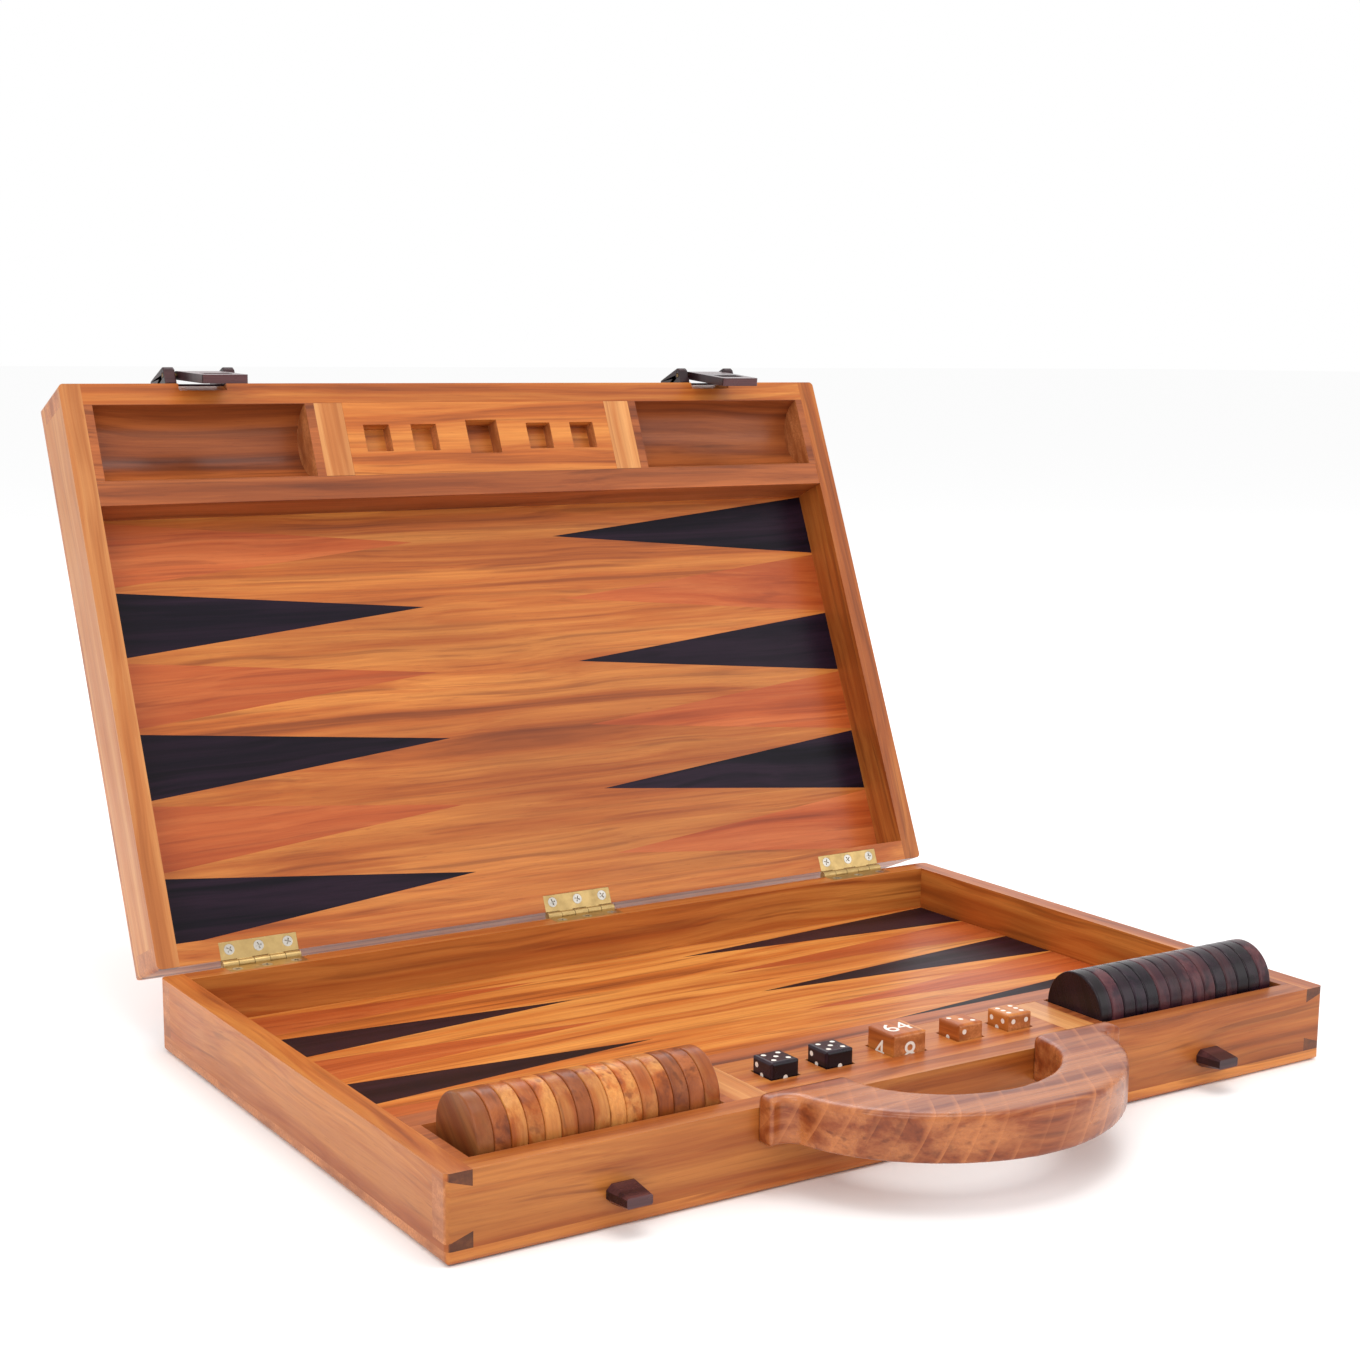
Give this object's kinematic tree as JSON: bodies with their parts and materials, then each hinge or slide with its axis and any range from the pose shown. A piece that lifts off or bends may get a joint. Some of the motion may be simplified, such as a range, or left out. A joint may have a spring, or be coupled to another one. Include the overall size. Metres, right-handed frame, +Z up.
{
  "type": "backgammon case",
  "caption": "Open wooden backgammon case: hinged trays with inlaid points, storage troughs, dice pockets, a carved carrying handle and slotted hasps over tapered pegs.",
  "frame": {"origin": "middle of the underside of the base", "axes": "+X to the right along the hinge, -Y towards the handle side, +Z up"},
  "size_m": [0.46, 0.5147, 0.3174],
  "materials": {
    "teak": "semi-gloss lacquered teak",
    "light_wood": "semi-gloss, pale cross grain",
    "checker_wood": "satin, mixed light woods",
    "die_wood": "satin",
    "cube_wood": "satin",
    "handle_wood": "semi-gloss red-brown",
    "hasp_wood": "satin, dark purple-brown",
    "orange_wood": "semi-gloss inlay",
    "dark_wood": "semi-gloss inlay",
    "ebony": "satin",
    "white_pip": "white",
    "brass": "polished",
    "nickel": "plated screws"
  },
  "bodies": {
    "base": {"base_front_rail": "teak", "base_rear_rail": "teak", "base_left_rail": "teak", "base_right_rail": "teak", "base_bottom_panel": "teak", "base_field_panel": "teak", "base_orange_points": "orange_wood", "base_dark_points": "dark_wood", "base_divider_bar": "teak", "base_left_trough": "teak", "base_right_trough": "teak", "base_dice_block": "teak", "base_spacers": "light_wood", "base_hinge_leaves": "brass", "base_hinge_screws": "nickel", "hinge_pins": "brass", "handle": "handle_wood", "handle_screws": "brass", "latch_pegs": "hasp_wood"},
    "lid": {"lid_front_rail": "teak", "lid_rear_rail": "teak", "lid_left_rail": "teak", "lid_right_rail": "teak", "lid_top_panel": "teak", "lid_field_panel": "teak", "lid_orange_points": "orange_wood", "lid_dark_points": "dark_wood", "lid_divider_bar": "teak", "lid_left_trough": "teak", "lid_right_trough": "teak", "lid_dice_block": "teak", "lid_spacers": "light_wood", "lid_hinge_leaves": "brass", "lid_hinge_screws": "nickel", "latch_brackets": "hasp_wood", "latch_bracket_screws": "brass"},
    "left_latch_pin": {"left_latch_pin": "brass"},
    "right_latch_pin": {"right_latch_pin": "brass"},
    "left_latch": {"left_latch": "hasp_wood"},
    "right_latch": {"right_latch": "hasp_wood"},
    "light_checkers": {"light_checkers": "checker_wood"},
    "dark_checkers": {"dark_checkers": "ebony"},
    "black_die_left": {"black_die_left": "ebony", "black_die_left_pips": "white_pip"},
    "black_die_right": {"black_die_right": "ebony", "black_die_right_pips": "white_pip"},
    "doubling_cube": {"doubling_cube": "cube_wood"},
    "wood_die_left": {"wood_die_left": "die_wood", "wood_die_left_pips": "white_pip"},
    "wood_die_right": {"wood_die_right": "die_wood", "wood_die_right_pips": "white_pip"}
  },
  "joints": [
    {"name": "lid_hinge", "type": "hinge", "parent": "base", "child": "lid", "pos_m": [0, 0.1496, 0.0362], "axis": [-1, 0, 0], "range_deg": [-113, 67]},
    {"name": "left_latch_set", "type": "hinge", "parent": "lid", "child": "left_latch_pin", "pos_m": [-0.1555, 0.27062, 0.31313], "axis": [1, 0, 0], "range_deg": [-60, 40]},
    {"name": "left_latch_lift", "type": "hinge", "parent": "left_latch_pin", "child": "left_latch", "pos_m": [-0.1555, 0.27062, 0.31313], "axis": [-1, 0, 0], "range_deg": [-22.5, 150]},
    {"name": "right_latch_set", "type": "hinge", "parent": "lid", "child": "right_latch_pin", "pos_m": [0.1555, 0.27062, 0.31313], "axis": [1, 0, 0], "range_deg": [-60, 40]},
    {"name": "right_latch_lift", "type": "hinge", "parent": "right_latch_pin", "child": "right_latch", "pos_m": [0.1555, 0.27062, 0.31313], "axis": [-1, 0, 0], "range_deg": [-22.5, 150]},
    {"name": "light_checkers_lift", "type": "slide", "parent": "base", "child": "light_checkers", "axis": [0, 0, 1], "range_m": [0, 0.08]},
    {"name": "dark_checkers_lift", "type": "slide", "parent": "base", "child": "dark_checkers", "axis": [0, 0, 1], "range_m": [0, 0.08]},
    {"name": "black_die_left_lift", "type": "slide", "parent": "base", "child": "black_die_left", "axis": [0, 0, 1], "range_m": [0, 0.08]},
    {"name": "black_die_right_lift", "type": "slide", "parent": "base", "child": "black_die_right", "axis": [0, 0, 1], "range_m": [0, 0.08]},
    {"name": "doubling_cube_lift", "type": "slide", "parent": "base", "child": "doubling_cube", "axis": [0, 0, 1], "range_m": [0, 0.08]},
    {"name": "wood_die_left_lift", "type": "slide", "parent": "base", "child": "wood_die_left", "axis": [0, 0, 1], "range_m": [0, 0.08]},
    {"name": "wood_die_right_lift", "type": "slide", "parent": "base", "child": "wood_die_right", "axis": [0, 0, 1], "range_m": [0, 0.08]}
  ],
  "couplings": [
    {"joint": "left_latch_set", "follows": "lid_hinge", "ratio": 0.38496},
    {"joint": "right_latch_set", "follows": "lid_hinge", "ratio": 0.4115}
  ]
}
